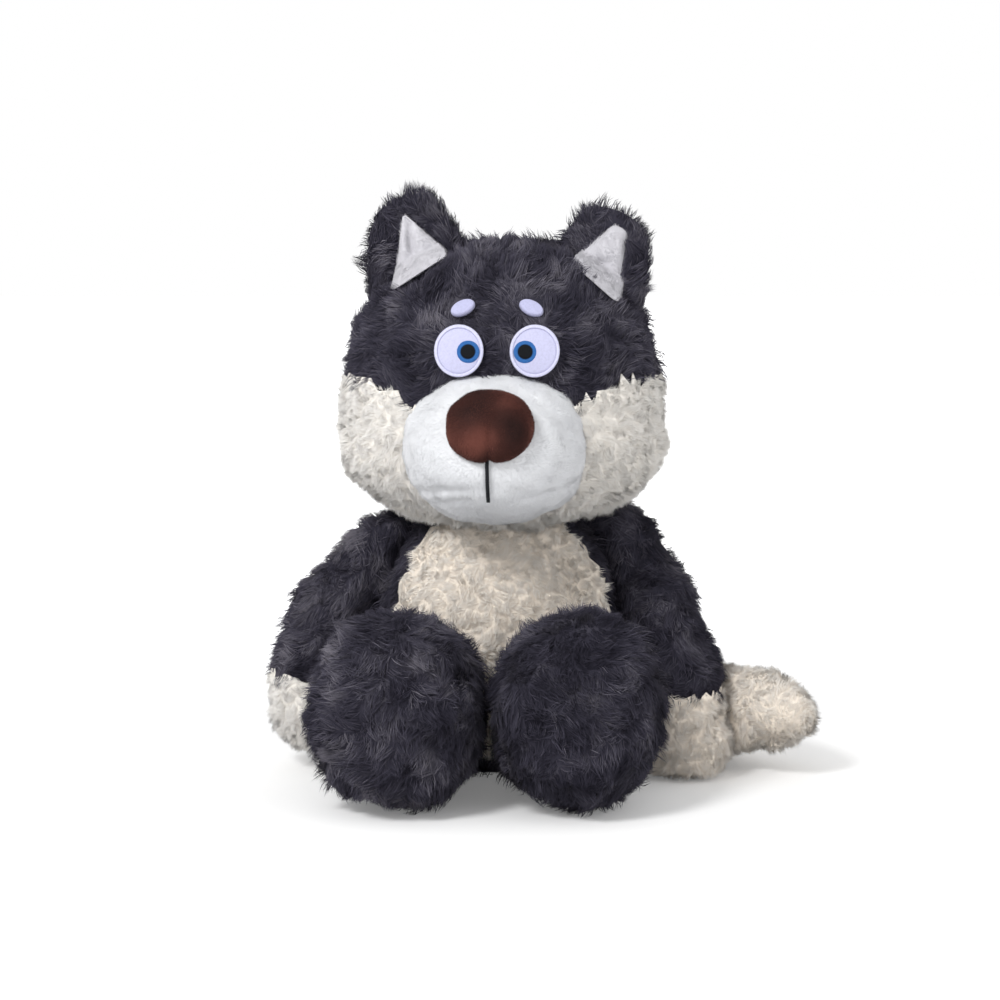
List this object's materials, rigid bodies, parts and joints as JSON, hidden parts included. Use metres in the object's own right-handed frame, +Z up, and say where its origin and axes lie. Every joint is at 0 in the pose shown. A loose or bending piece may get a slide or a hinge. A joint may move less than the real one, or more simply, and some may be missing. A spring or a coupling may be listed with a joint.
{
  "type": "plush husky",
  "caption": "Seated plush husky: stuffed fur-fabric head, body, arms, legs and curled tail, with a padded velvet nose and embroidered eyes.",
  "frame": {"origin": "centre of the flat seat underneath the torso", "axes": "-Y is the way the face looks, +Z is up, and +X is to the right as seen from the front"},
  "size_m": [0.3122, 0.2358, 0.3333],
  "materials": {
    "charcoal_fur": "long-pile faux fur, charcoal",
    "cream_fur": "woolly long-pile faux fur, cream",
    "ear_plush": "short-pile plush, pale grey",
    "muzzle_plush": "short-pile plush, white",
    "nose_velvet": "velvet, dark brown",
    "eye_white_thread": "satin-stitch embroidery, lavender white",
    "blue_thread": "satin-stitch embroidery, blue",
    "black_thread": "embroidery thread, black",
    "stuffing_fibre": "loose polyester fibre, white"
  },
  "bodies": {
    "root": {"crown_skin": "charcoal_fur", "back_skin": "charcoal_fur", "sleeve_left": "charcoal_fur", "sleeve_right": "charcoal_fur", "leg_skin_left": "charcoal_fur", "leg_skin_right": "charcoal_fur", "tail_root_skin": "charcoal_fur", "ear_left": "charcoal_fur", "ear_right": "charcoal_fur", "cheek_skin_left": "cream_fur", "cheek_skin_right": "cream_fur", "chest_skin": "cream_fur", "paw_left": "cream_fur", "paw_right": "cream_fur", "tail_tip_skin": "cream_fur", "ear_lining_left": "ear_plush", "ear_lining_right": "ear_plush", "muzzle_skin": "muzzle_plush", "nose": "nose_velvet", "eye_white_left": "eye_white_thread", "eye_white_right": "eye_white_thread", "brow_left": "eye_white_thread", "brow_right": "eye_white_thread", "iris_left": "blue_thread", "iris_right": "blue_thread", "pupil_left": "black_thread", "pupil_right": "black_thread", "mouth_thread": "black_thread", "head_stuffing": "stuffing_fibre", "torso_stuffing": "stuffing_fibre", "leg_stuffing_left": "stuffing_fibre", "leg_stuffing_right": "stuffing_fibre", "arm_stuffing_left": "stuffing_fibre", "arm_stuffing_right": "stuffing_fibre", "tail_stuffing": "stuffing_fibre"}
  },
  "joints": []
}
